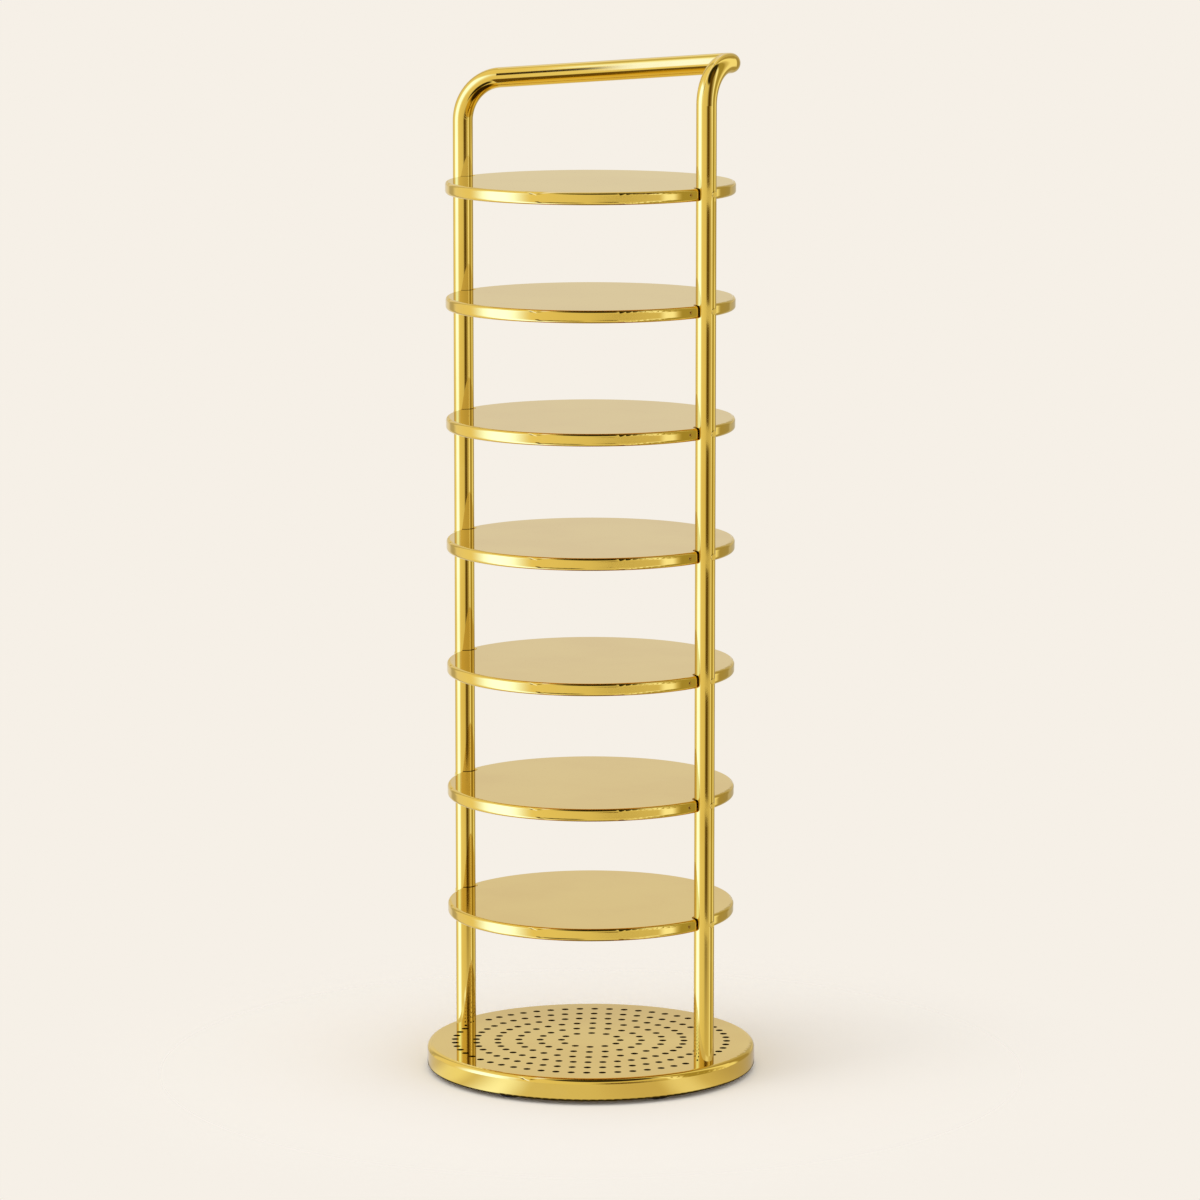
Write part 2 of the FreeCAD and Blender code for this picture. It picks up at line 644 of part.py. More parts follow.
def make_base_plate():
    body = new_body("base_plate")
    disc = f"{BASE_RADIUS} - [base_foot_roll] - [cover_gap]"
    cylinder(body, "base_plate_disc", disc, "[base_plate_sheet]", ("0", "0", PLATE_LOW))
    for side in SIDES:
        opening = [f"base_plate_{side}_opening", "[counterbore_radius]"]
        tall, low = f"[base_plate_sheet] + 2 * {OVERRUN}", f"{PLATE_LOW} - {OVERRUN}"
        cylinder(body, *opening, tall, at_post(side, low), cut=True)
    screw_holes(body, "[plate_screw_radius] + [hole_gap]", PLATE_LOW, "[base_plate_sheet]")


def make_ballast_plate():
    body = new_body("ballast_plate")
    disc = f"{BASE_RADIUS} - [base_sheet] - [ballast_gap]"
    cylinder(body, "ballast_disc", disc, "[ballast_height]", ("0", "0", PLATE_TOP))
    for side in SIDES:
        at = at_post(side, f"{PLATE_TOP} - {OVERRUN}")
        counterbore = [f"ballast_{side}_counterbore", "[counterbore_radius]"]
        cylinder(body, *counterbore, f"[bolt_recess] + {OVERRUN}", at, cut=True)
        bolt_hole = [f"ballast_{side}_bolt_hole", "[bolt_radius] + [hole_gap]"]
        cylinder(body, *bolt_hole, f"[ballast_height] + 2 * {OVERRUN}", at, cut=True)
    screw_holes(body, "[plate_screw_radius] + [fit_gap]", PLATE_TOP, "[ballast_height]")


def make_base_plate_screws():
    body = new_body("base_plate_screws")
    head_low = f"{PLATE_LOW} - [plate_screw_head_height]"
    shank = ["plate_screw_shank", "[plate_screw_radius]", "[plate_screw_length]"]
    head = ["plate_screw_head", "[plate_screw_head]", "[plate_screw_head_height]"]
    features = [
        cylinder(body, *shank, ("[plate_screw_circle]", "0", PLATE_LOW)),
        cylinder(body, *head, ("[plate_screw_circle]", "0", head_low)),
    ]
    repeat(body, features, "plate_screw_ring", "[plate_screw_count]")


def make_foot_pads():
    body = new_body("foot_pads")
    first = "(180 / [foot_count])"
    place = f"({BASE_RADIUS} - [foot_inset])"
    at = (f"{place} * cos({first})", f"{place} * sin({first})", "0")
    pad = cylinder(body, "foot_pad", "[foot_radius]", PLATE_LOW, at)
    repeat(body, [pad], "foot_pad_ring", "[foot_count]")


# Post feet: a threaded plug in each post, and a bolt up through ballast, spacer and pan


def make_rings(label, outer, bore, low, tall, hole_tall=None):
    """A bored cylinder on each post's axis."""
    body = new_body(label)
    for side in SIDES:
        cylinder(body, f"{label}_{side}", outer, tall, at_post(side, low))
    for side in SIDES:
        cylinder(body, f"{label}_{side}_bore", bore, hole_tall or tall, at_post(side, low), cut=True)


def make_post_plugs():
    depth = f"{BOLT_HEAD_TOP} + [bolt_length] + [thread_runout] - {BASE_TOP}"
    outer = "[tube_radius] - [tube_wall] - [fit_gap]"
    make_rings("post_plugs", outer, "[bolt_radius] + [fit_gap]", BASE_TOP, "[plug_length]", depth)


def make_post_spacers():
    tall = f"{BASE_TOP} - [base_sheet] - {BALLAST_TOP}"
    make_rings("post_spacers", "[spacer_radius]", "[bolt_radius] + [hole_gap]", BALLAST_TOP, tall)


def make_bolt_washers():
    bore = "[bolt_radius] + [hole_gap]"
    make_rings("bolt_washers", "[washer_radius]", bore, BOLT_HEAD_TOP, "[washer_height]")


def make_post_bolts():
    body = new_body("post_bolts")
    low = f"({BOLT_HEAD_TOP} - [bolt_head_height])"
    for side in SIDES:
        head = [f"bolt_{side}_head", "[bolt_head_radius]", "[bolt_head_height]"]
        cylinder(body, *head, at_post(side, low))
        shank = [f"bolt_{side}_shank", "[bolt_radius]", "[bolt_length]"]
        cylinder(body, *shank, at_post(side, BOLT_HEAD_TOP))
        socket = [f"bolt_{side}_socket", "[bolt_socket]", "[bolt_socket_depth]"]
        cylinder(body, *socket, at_post(side, low), cut=True, prism=True)


def check(document, made):
    """Stop if any object failed or any sub-part has no sound solid."""
    for item in document.Objects:
        if {"Invalid", "Error"} & set(item.State):
            raise SystemExit(f"{item.Label} failed: {item.State}")
    for part in made:
        if part.Shape.isNull() or not part.Shape.isValid() or not part.Shape.Solids:
            raise SystemExit(f"{part.Label} has no valid solid")


def export(made):
    os.makedirs("parts", exist_ok=True)
    for part in made:
        part.Shape.exportStep(f"parts/{part.Label}.step")


doc = FreeCAD.newDocument("RoundShoeRack")
sheet = make_sheet(doc)
parts = []

for post_side in SIDES:
    make_post(post_side)
make_handle()
make_joiner_sleeves()
make_shelves()
make_base_pan()
make_base_plate()
make_ballast_plate()
make_base_plate_screws()
make_foot_pads()
make_post_plugs()
make_post_spacers()
make_bolt_washers()
make_post_bolts()

doc.recompute()
check(doc, parts)
export(parts)
for part in parts:
    box = part.Shape.BoundBox
    size = f"{box.XLength:.1f} x {box.YLength:.1f} x {box.ZLength:.1f}"
    print(f"{part.Label}: {len(part.Shape.Solids)} solids, {size}, volume {part.Shape.Volume:.0f}")
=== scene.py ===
# %% [markdown]
# # A round shoe rack in mirror-polished gold
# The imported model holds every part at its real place, so this lesson adds what the model can't
# hold: the finish of each surface, and the light that a polished surface lives on. The frame is
# loaded first, and everything below sits in the same metres.

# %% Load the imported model
import math

import bmesh
import bpy
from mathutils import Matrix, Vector


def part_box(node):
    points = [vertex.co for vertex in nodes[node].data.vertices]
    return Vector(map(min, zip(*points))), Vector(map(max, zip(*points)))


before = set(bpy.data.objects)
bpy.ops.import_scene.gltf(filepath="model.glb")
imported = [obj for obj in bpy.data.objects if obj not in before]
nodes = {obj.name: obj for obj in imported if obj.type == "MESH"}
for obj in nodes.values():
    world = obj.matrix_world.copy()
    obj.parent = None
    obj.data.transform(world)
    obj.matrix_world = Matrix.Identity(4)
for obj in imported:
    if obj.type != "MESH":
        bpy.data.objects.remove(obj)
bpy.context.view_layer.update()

# %% [markdown]
# ## Camera
# The photograph was taken with a long lens from a little higher than the top of the rack, looking
# down on it by about 9 degrees. That is why the ellipses of the shelves open only slightly from top
# to bottom. A shorter lens nearer by would fan them out more.

# %% Set up the camera
VIEW_TURN = math.radians(33.0)
VIEW_TILT = math.radians(90 - 8.945)
VIEW_PLACE = (3.0581, -4.6913, 1.3795)
VIEW_DISTANCE = 5.6            # from the rack's axis, measured along the floor
LENS, SENSOR = 163.2, 36.0     # mm

camera = bpy.data.objects.new("camera", bpy.data.cameras.new("camera"))
camera.data.lens = LENS
camera.data.sensor_width = SENSOR
camera.location = VIEW_PLACE
camera.rotation_euler = (VIEW_TILT, 0, VIEW_TURN)
bpy.context.scene.collection.objects.link(camera)
bpy.context.scene.camera = camera
bpy.context.scene.view_settings.view_transform = "Standard"
print("camera at", [round(v, 3) for v in camera.location])

# %% [markdown]
# ## Shader sums
# A finish is mostly arithmetic on places and noise. The nodes could be linked one by one, but a sum
# reads best as a sum. So this small class wraps one socket, and each +, each * and each `1 - mask`
# adds the Math node for it. Every other node comes from its one method `node`, which takes the
# type, the settings and then the inputs.


# %% A socket that can be added and multiplied
class Wire:
    """One output socket of a node tree, or just the tree when there is no socket yet."""

    def __init__(self, tree, socket=None):
        self.tree = tree
        self.socket = socket

    def node(self, kind, settings=None, inputs=None, out=0):
        made = self.tree.nodes.new(kind)
        for name, value in (settings or {}).items():
            setattr(made, name, value)
        for name, value in (inputs or {}).items():
            if isinstance(value, Wire):
                self.tree.links.new(value.socket, made.inputs[name])
            else:
                made.inputs[name].default_value = value
        return Wire(self.tree, made.outputs[out] if made.outputs else None)

    def calculate(self, operation, *others):
        """One Math node that starts from this value."""
        values = dict(enumerate((self, *others)))
        return self.node("ShaderNodeMath", {"operation": operation}, values)

    def __add__(self, other):
        return self.calculate("ADD", other)

    def __mul__(self, other):
        return self.calculate("MULTIPLY", other)

    def __rsub__(self, other):
        return self.node("ShaderNodeMath", {"operation": "SUBTRACT"}, {0: other, 1: self})

    __radd__, __rmul__ = __add__, __mul__

    def between(self, low, high):
        """0 below the first value, 1 above the second, smooth in the middle."""
        inputs = {"Value": self, "From Min": low, "From Max": high}
        return self.node("ShaderNodeMapRange", {"interpolation_type": "SMOOTHSTEP"}, inputs)


print("a Wire adds, multiplies and can be taken from a number")

# %% [markdown]
# ## Places and patterns
# The finishes follow how each piece was made: discs were buffed while they turned, and tubes were
# buffed round their length. So the shaders need the distance from the rack's axis and the height
# above the floor, and noise that is laid out in the metal's own metres. Image textures could do the
# same, but they would need unwrapped surfaces and show their edges on a mirror.


# %% Places on the metal
def new_material(name):
    """An empty material, and the wire that its nodes are hung on."""
    material = bpy.data.materials.new(name)
    material.use_nodes = True
    material.node_tree.nodes.clear()
    return material, Wire(material.node_tree)


def position(start):
    """The place on the piece, in metres."""
    return start.node("ShaderNodeTexCoord", out="Object")


def height_at(spot):
    """The height of a place above the floor, or how steeply a direction rises."""
    return spot.node("ShaderNodeSeparateXYZ", inputs={"Vector": spot}, out="Z")


def radius_at(spot):
    """The distance of a place from the rack's own axis."""
    flat = spot.node("ShaderNodeVectorMath", {"operation": "MULTIPLY"}, {0: spot, 1: (1, 1, 0)})
    return spot.node("ShaderNodeVectorMath", {"operation": "LENGTH"}, {0: flat}, out="Value")


print("places: position, height and radius")

# %% [markdown]
# Buffing, plating and moulding leave two kinds of mark: soft patches, and fine lines that follow the
# tool. Both are noise, in three dimensions for patches and in one for lines. Every finish is then
# the same kind of shader, with a colour, a roughness and a relief that are worked out from them.


# %% Patterns and the shader that they end in
def noise(spot, scale, detail=2.0, roughness=0.5):
    """Soft patches from 0 to 1, about `scale` of them in a metre."""
    inputs = {"Vector": spot, "Scale": scale, "Detail": detail, "Roughness": roughness}
    return spot.node("ShaderNodeTexNoise", inputs=inputs)


def lines(along, scale, detail=2.0):
    """Fine uneven lines, as a buffing wheel leaves, that cross the given coordinate."""
    inputs = {"W": along, "Scale": scale, "Detail": detail}
    return along.node("ShaderNodeTexNoise", {"noise_dimensions": "1D"}, inputs)


def blend(start, amount, first, second):
    """A colour between two colours."""
    inputs = {"Factor": amount, 6: first, 7: second}
    return start.node("ShaderNodeMix", {"data_type": "RGBA"}, inputs, out=2)


def finish_shader(start, colour, roughness, relief, fixed):
    """One Principled shader whose bump is a relief in metres."""
    bump = start.node("ShaderNodeBump", inputs={"Height": relief, "Distance": 1.0, "Strength": 1.0})
    inputs = {"Base Color": colour, "Roughness": roughness, "Normal": bump, **fixed}
    shader = start.node("ShaderNodeBsdfPrincipled", inputs=inputs)
    start.node("ShaderNodeOutputMaterial", inputs={"Surface": shader})


finishes = {}


def keep_finish(slot_name, material):
    """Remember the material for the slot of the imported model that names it."""
    finishes[slot_name] = material
    print(material.name, "has", len(material.node_tree.nodes), "nodes")


print("patterns: noise and lines")

# %% [markdown]
# ## Polished gold
# The real rack is steel sheet and tube, polished and plated. What the eye reads as gold is the
# colour of what it mirrors, so one base colour serves for all of it, and the interest comes from
# small things: clouds of a slightly deeper gold, faint pale smudges, a buffed grain too fine to see
# but for its haze, and sheet that isn't quite flat. Any metal turns white where it is seen nearly
# edge on, and the edge tint holds that back a little.

# %% Make the polished gold
GOLD = (0.83, 0.605, 0.122, 1.0)
DEEP_GOLD = (0.79, 0.555, 0.10, 1.0)
PALE_GOLD = (0.86, 0.66, 0.19, 1.0)
EDGE_TINT = (0.84, 0.84, 0.82, 1.0)
CLOUDS, SMUDGES, WAVES, GRAIN = 9.0, 34.0, 14.0, 2600.0    # in a metre
CLOUD_EDGES, SMUDGE_EDGES = (0.35, 0.7), (0.56, 0.74)      # parts of the noise that show
GRAIN_SLANT = 1.7              # height counts too, so that walls get lines as well as tops
SMUDGE_PALENESS = 0.12
POLISH, CLOUD_HAZE, GRAIN_HAZE, SMUDGE_HAZE = 0.028, 0.012, 0.006, 0.022
WAVE_DEPTH = 0.00001


def polished_gold():
    material, start = new_material("polished_gold_finish")
    spot = position(start)
    clouds = noise(spot, CLOUDS, detail=3.0)
    smudges = noise(spot, SMUDGES, detail=4.0, roughness=0.6).between(*SMUDGE_EDGES)
    grain = lines(radius_at(spot) + height_at(spot) * GRAIN_SLANT, GRAIN)
    colour = blend(start, clouds.between(*CLOUD_EDGES), GOLD, DEEP_GOLD)
    colour = blend(start, smudges * SMUDGE_PALENESS, colour, PALE_GOLD)
    roughness = POLISH + clouds * CLOUD_HAZE + grain * GRAIN_HAZE + smudges * SMUDGE_HAZE
    waves = noise(spot, WAVES, detail=1.0) * WAVE_DEPTH
    finish_shader(start, colour, roughness, waves, {"Metallic": 1.0, "Specular Tint": EDGE_TINT})
    return material


keep_finish("polished_gold", polished_gold())

# %% [markdown]
# ## Satin gold
# Bushes, saddles and small screws are turned or sawn and then plated without polishing. They keep
# fine tool lines and scatter more light. The lines could be modelled, but at a few hundredths of a
# millimetre a shader draws them better.

# %% Make the satin gold
SATIN, SATIN_SHADE = (0.72, 0.50, 0.12, 1.0), (0.60, 0.40, 0.09, 1.0)
TOOL_LINES, SATIN_CLOUDS = 1900.0, 30.0                    # in a metre
TOOL_SLANT = 0.6
SATIN_ROUGHNESS, TOOL_HAZE, SATIN_HAZE = 0.22, 0.10, 0.06
TOOL_DEPTH = 0.000002


def satin_gold():
    material, start = new_material("satin_gold_finish")
    spot = position(start)
    tool = lines(radius_at(spot) + height_at(spot) * TOOL_SLANT, TOOL_LINES, detail=3.0)
    clouds = noise(spot, SATIN_CLOUDS, detail=3.0)
    colour = blend(start, clouds, SATIN, SATIN_SHADE)
    roughness = SATIN_ROUGHNESS + tool * TOOL_HAZE + clouds * SATIN_HAZE
    finish_shader(start, colour, roughness, tool * TOOL_DEPTH, {"Metallic": 1.0})
    return material


keep_finish("satin_gold", satin_gold())

# %% [markdown]
# ## Zinc
# The bolts, plugs and sleeves inside are steel with a bright zinc plating, which grows in small
# crystals. A cell pattern gives each crystal its own haze, and a cloud of bluer grey lies over it.

# %% Make the zinc-plated steel
ZINC, ZINC_SHADE = (0.60, 0.60, 0.58, 1.0), (0.50, 0.51, 0.52, 1.0)
CRYSTALS, ZINC_CLOUDS = 160.0, 40.0                        # in a metre
ZINC_ROUGHNESS, CRYSTAL_HAZE, ZINC_HAZE = 0.30, 0.12, 0.08
CRYSTAL_DEPTH = 0.000003


def zinc_steel():
    material, start = new_material("zinc_steel_finish")
    spot = position(start)
    crystals = start.node("ShaderNodeTexVoronoi", inputs={"Vector": spot, "Scale": CRYSTALS})
    clouds = noise(spot, ZINC_CLOUDS, detail=3.0)
    colour = blend(start, clouds, ZINC, ZINC_SHADE)
    roughness = ZINC_ROUGHNESS + crystals * CRYSTAL_HAZE + clouds * ZINC_HAZE
    finish_shader(start, colour, roughness, crystals * CRYSTAL_DEPTH, {"Metallic": 1.0})
    return material


keep_finish("zinc_steel", zinc_steel())

# %% [markdown]
# ## Brown lacquer
# The ballast plate shows only through the small holes of the base, as a dark ground under the gold.
# It is steel that was dipped in a brown lacquer, with the faint ripple that is called orange peel.
# Little of the light that falls through a hole comes out again, so the coat hardly shines.

# %% Make the brown lacquer
LACQUER, LACQUER_SHADE = (0.150, 0.062, 0.008, 1.0), (0.110, 0.045, 0.006, 1.0)
PEEL, LACQUER_CLOUDS = 260.0, 25.0                         # in a metre
LACQUER_ROUGHNESS, PEEL_HAZE = 0.38, 0.1
PEEL_DEPTH = 0.00001
LACQUER_COAT = {"Coat Weight": 0.05, "Coat Roughness": 0.3, "Specular IOR Level": 0.15}


def brown_lacquer():
    material, start = new_material("brown_lacquer_finish")
    spot = position(start)
    peel = noise(spot, PEEL, detail=2.0)
    colour = blend(start, noise(spot, LACQUER_CLOUDS, detail=3.0), LACQUER, LACQUER_SHADE)
    roughness = LACQUER_ROUGHNESS + peel * PEEL_HAZE
    finish_shader(start, colour, roughness, peel * PEEL_DEPTH, LACQUER_COAT)
    return material


keep_finish("brown_lacquer", brown_lacquer())

# %% [markdown]
# ## Black rubber
# The pads under the base are moulded rubber: nearly black, matt, with a fine pebbled skin and a
# little dust. Only a dark gap shows of them in the photograph.

# %% Make the rubber
RUBBER, DUST = (0.018, 0.018, 0.018, 1.0), (0.07, 0.065, 0.06, 1.0)
PEBBLES, DUST_PATCHES = 900.0, 60.0                        # in a metre
DUST_EDGES, DUST_COVER = (0.5, 0.8), 0.5
RUBBER_ROUGHNESS, PEBBLE_HAZE = 0.62, 0.2
PEBBLE_DEPTH = 0.00004


def black_rubber():
    material, start = new_material("black_rubber_finish")
    spot = position(start)
    pebbles = noise(spot, PEBBLES, detail=3.0)
    dust = noise(spot, DUST_PATCHES, detail=3.0).between(*DUST_EDGES) * DUST_COVER
    colour = blend(start, dust, RUBBER, DUST)
    roughness = RUBBER_ROUGHNESS + pebbles * PEBBLE_HAZE
    finish_shader(start, colour, roughness, pebbles * PEBBLE_DEPTH, {"Specular IOR Level": 0.4})
    return material


keep_finish("black_rubber", black_rubber())

# %% [markdown]
# ## Dress the parts
# Posts, handle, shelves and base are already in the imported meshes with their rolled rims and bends.
# They could be modelled again here, but that would only risk moving a surface, so the meshes stay
# and each gets the finish that its slot names.

# %% Give every part its finish
for part in nodes.values():
    for slot in part.material_slots:
        slot.material = finishes[slot.material.name]

for slot_name, finish in finishes.items():
    dressed = [part for part in nodes.values() if part.material_slots[0].material == finish]
    print(slot_name, "is on", len(dressed), "parts")

# %% [markdown]
# ## Angles round the rack
# The studio is laid out by angle, as seen from the rack: 0 is the camera's direction, positive
# angles go to the camera's right, and 180 is behind. A polished post shows that whole circle
# squeezed into its width: what stands at 90 degrees appears 0.7 of the way to the tube's edge.


# %% Bearings and soft edges
def place_at(angle, distance):
    """A place on the floor at that angle from the camera's direction."""
    turn = VIEW_TURN - math.pi / 2 + math.radians(angle)
    return Vector((math.cos(turn), math.sin(turn), 0)) * distance


def share_along(spot, way):
    """How much of a place or direction lies along another direction."""
    inputs = {0: spot, 1: way}
    return spot.node("ShaderNodeVectorMath", {"operation": "DOT_PRODUCT"}, inputs, out="Value")


def arcsine(sine):
    """The angle in degrees that has this sine."""
    return sine.calculate("ARCSINE") * math.degrees(1)


def turn_towards(across, ahead):
    """The angle in degrees of a direction that goes so far across and so far ahead."""
    return across.calculate("ARCTAN2", ahead) * math.degrees(1)


def bearing(spot):
    """The angle from the camera's direction, for a shader's place or direction."""
    return turn_towards(share_along(spot, place_at(90, 1)), share_along(spot, place_at(0, 1)))


def card(angle, start, end, start_edge, end_edge):
    """1 from one angle to another and 0 outside, with edges that many degrees wide."""
    inside = angle.between(start - start_edge / 2, start + start_edge / 2)
    return inside * (1 - angle.between(end - end_edge / 2, end + end_edge / 2))


print("camera's direction", [round(v, 3) for v in place_at(0, 1)])

# %% [markdown]
# ## Studio
# A pale room with no visible horizon. The camera sees the plain background. Mirrored rays see a
# wall like it, but with narrow bright strips and brown flags painted on it, because polished metal
# in an evenly white room looks like paper: the pale stripes and the brown lines are what make a
# tube read as round. A photographer would hang real cards. Painting them on the world gives no
# noise and throws no shadow.

# %% Paint the walls and the panels
BACKGROUND = (0.921, 0.871, 0.799, 1.0)
WALL_LEFT, WALL_RIGHT = (0.98, 0.925, 0.845, 1.0), (0.79, 0.735, 0.64, 1.0)
WALL_TURNS = (-70, 40)                 # the left wall ends and the right one begins
WALLS = (-165, 165, 16, 16)            # behind these angles is the background itself

# from, to, width of both edges, colour
PANELS = {
    "left back flag": (-151, -138, 8, 8, (0.62, 0.57, 0.47, 1.0)),
    "right strip": (59, 71, 8, 6, (1.18, 1.28, 1.9, 1.0)),
    "right flag": (75, 99, 7, 10, (0.45, 0.39, 0.18, 1.0)),
    "right back strip": (107, 124, 8, 8, (1.1, 1.12, 1.2, 1.0)),
    "right back flag": (123, 147, 8, 8, (0.48, 0.41, 0.25, 1.0)),
    "dim wall": (147, 169, 8, 10, (0.64, 0.59, 0.50, 1.0)),
}

world = bpy.data.worlds.new("studio")
world.use_nodes = True
world.node_tree.nodes.clear()
sky = Wire(world.node_tree)
ray = sky.node("ShaderNodeTexCoord", out="Generated")
angle = bearing(ray)
rise = arcsine(height_at(ray))

surround = blend(sky, angle.between(*WALL_TURNS), WALL_LEFT, WALL_RIGHT)
surround = blend(sky, card(angle, *WALLS), BACKGROUND, surround)
for *edges, colour in PANELS.values():
    surround = blend(sky, card(angle, *edges), surround, colour)
print("painted:", ", ".join(PANELS))

# %% [markdown]
# ## Soft box
# The broad pale stripe at the left of both posts is a tall soft box. It is painted too, and bluish,
# because the gold takes most of the blue out of it again. It ends part of the way up, so the parts
# of the bends and rims that look higher don't shine as well.

# %% Paint the soft box
SOFT_BOX = (-98, -59, 28, 26)
SOFT_BOX_TOP = (28, 42)
SOFT_BOX_LIGHT = (1.35, 2.0, 5.6, 1.0)

soft_box = card(angle, *SOFT_BOX) * (1 - rise.between(*SOFT_BOX_TOP))
surround = blend(sky, soft_box, surround, SOFT_BOX_LIGHT)
print("soft box from", SOFT_BOX[0], "to", SOFT_BOX[1], "degrees")

# %% [markdown]
# ## Dark cloth
# A dark cloth hangs high in front. Only the curved top edges of the rims lean back far enough to
# see it, so it draws the fine dark line along each of them. A second one lies low at the front left,
# where the handle's left bend looks, and draws the dark line inside that bend.

# %% Hang the overhead cloth and the low mat
DARK = (0.034, 0.026, 0.010, 1.0)
CLOTH_BEARING, CLOTH_RISE = 14, math.radians(66)
CLOTH_EDGES = math.cos(math.radians(31)), math.cos(math.radians(21))
BEND_MAT, BEND_MAT_RISE = (-41, -8, 5, 12), (-47, -24, 6, 6)

cloth_way = place_at(CLOTH_BEARING, math.cos(CLOTH_RISE)) + Vector((0, 0, math.sin(CLOTH_RISE)))
surround = blend(sky, share_along(ray, cloth_way).between(*CLOTH_EDGES), surround, DARK)
bend_mat = card(angle, *BEND_MAT) * card(rise, *BEND_MAT_RISE)
surround = blend(sky, bend_mat, surround, DARK)
print("cloth towards", [round(v, 3) for v in cloth_way])

# %% [markdown]
# ## Wall behind
# The tops of the shelves mirror the wall behind the rack. The top shelf is seen at the flattest
# angle and mirrors the foot of that wall, and each shelf below it mirrors a little more of its
# height. A warmer foot keeps the upper shelves as golden as the lower ones in the photograph. The
# base mirrors a slightly duller strip higher up.

# %% Paint the wall behind
BACK_WALL = (-150, 150, 4, 4)
DULL, DULL_RISE = (0.79, 0.745, 0.75, 1.0), (12.8, 13.36, 0.4, 0.14)
WARM, WARM_RISE = (0.872, 0.782, 0.565, 1.0), (1.5, 6.75, 2, 5.5)

back_wall = 1 - card(angle, *BACK_WALL)
surround = blend(sky, back_wall * card(rise, *DULL_RISE), surround, DULL)
surround = blend(sky, back_wall * card(rise, *WARM_RISE), surround, WARM)
print("warm foot up to", WARM_RISE[1], "degrees, dull strip at", DULL_RISE[0])

# %% [markdown]
# ## Cards for the handle's bar
# A straight tube has a simple rule: a ray that leaves it keeps the same angle to the tube's axis
# that it came with. So each place along the bar mirrors one narrow ring of the surround, and two
# angles name every spot on it: `along`, which changes by only 2.3 degrees from the left bend to the
# right one, and `around`, which turns twice as fast as the surface. Cards laid out in these angles
# land on the bar where they are meant to, and hardly show anywhere else. Rays that leave the bar's
# lower side strike the top shelf and turn up again, so their cards hang in a ring that is mirrored
# upside down.

# %% Measure angles on the bar
BAR_FROM, BAR_TO = Vector((-0.1493, -0.0145, 1.0346)), Vector((0.1493, 0.0446, 1.0590))
DIRECT, MIRRORED = 1, -1


def bar_angles(side):
    """A ray's two angles in degrees: along the bar and around it."""
    axis = (BAR_TO - BAR_FROM).normalized()
    ahead = axis.cross(Vector((0, 0, 1))).normalized()
    above = ahead.cross(axis)
    above *= math.copysign(1, above.z)
    ways = [Vector((way.x, way.y, way.z * side)) for way in (axis, ahead, above)]
    along, forward, upward = (share_along(ray, way) for way in ways)
    return arcsine(along), turn_towards(upward, forward)


bar_rings = {side: bar_angles(side) for side in (DIRECT, MIRRORED)}
print("bar is", round((BAR_TO - BAR_FROM).length, 3), "m long")

# %% [markdown]
# The cards themselves are listed from the bar's upper edge down to its lower one. The brown mats
# are what the lower half of the bar shows, the glares are its bright stripes, and the frame line is
# the dark line that runs along the left half only.

# %% Lay out the bar's cards
# ring, angles along the bar, angles around it, colour
BAR_CARDS = {
    "upper edge": (DIRECT, (-24, -20.6, 0.4, 0.2), (122, 146, 16, 12), (1.05, 1.12, 1.7, 1.0)),
    "thin shade": (DIRECT, (-22.1, -20.6, 0.3, 0.2), (90, 108, 12, 12), (0.66, 0.66, 0.6, 1.0)),
    "upper glare": (DIRECT, (-22.4, -20.6, 0.5, 0.2), (58, 80, 16, 14), (1.2, 1.5, 3.2, 1.0)),
    "frame line": (DIRECT, (-24, -21.98, 0.4, 0.3), (25, 49, 9, 9), (0.045, 0.026, 0.004, 1.0)),
    "right glare": (DIRECT, (-21.85, -20.6, 0.35, 0.2), (5, 66, 12, 14), (1.25, 1.62, 5.0, 1.0)),
    "brown mat": (DIRECT, (-24, -20.6, 0.4, 0.2), (-62, -15, 8, 6), (0.15, 0.09, 0.012, 1.0)),
    "brown reflection": (MIRRORED, (-24, -21.5, 0.4, 0.4), (-50, -30, 10, 6), (0.19, 0.13, 0.02, 1.0)),
    "amber reflection": (MIRRORED, (-21.5, -20.6, 0.4, 0.2), (-50, -30, 14, 6), (0.66, 0.60, 0.4, 1.0)),
    "lower edge": (MIRRORED, (-24, -20.6, 0.4, 0.2), (-150, -66, 20, 18), (1.04, 1.18, 3.0, 1.0)),
}

for side, along_edges, around_edges, colour in BAR_CARDS.values():
    along, around = bar_rings[side]
    surround = blend(sky, card(along, *along_edges) * card(around, *around_edges), surround, colour)
print("painted for the bar:", ", ".join(BAR_CARDS))

# %% [markdown]
# ## Who sees what
# The camera sees the plain background, straight or through a clear piece. The painted surround is
# only for what it sees mirrored. All other light from the room is plain and even. That also goes
# for light that has already left the floor, or the soft box would burn bright patches into it.

# %% Join background, surround and even light
EVEN_LIGHT, EVEN_TINT = 0.96, (0.985, 0.99, 1.0, 1.0)
NO_BOUNCE = 0.5                # fewer matt bounces than this is none


def ray_fact(name):
    """One of the things that Blender knows about a ray."""
    return sky.node("ShaderNodeLightPath", out=name)


def room(colour, strength=1.0):
    return sky.node("ShaderNodeBackground", inputs={"Color": colour, "Strength": strength})


def mix_shaders(start, amount, first, second):
    return start.node("ShaderNodeMixShader", inputs={0: amount, 1: first, 2: second})


seen = ray_fact("Is Camera Ray").calculate("MAXIMUM", ray_fact("Is Transmission Ray"))
before_floor = ray_fact("Diffuse Depth").calculate("LESS_THAN", NO_BOUNCE)
mirrored = ray_fact("Is Glossy Ray") * before_floor
lit = mix_shaders(sky, mirrored, room(EVEN_TINT, EVEN_LIGHT), room(surround))
sky.node("ShaderNodeOutputWorld", inputs={"Surface": mix_shaders(sky, seen, lit, room(BACKGROUND))})
bpy.context.scene.world = world
print("background", BACKGROUND[:3], "even light", EVEN_LIGHT)

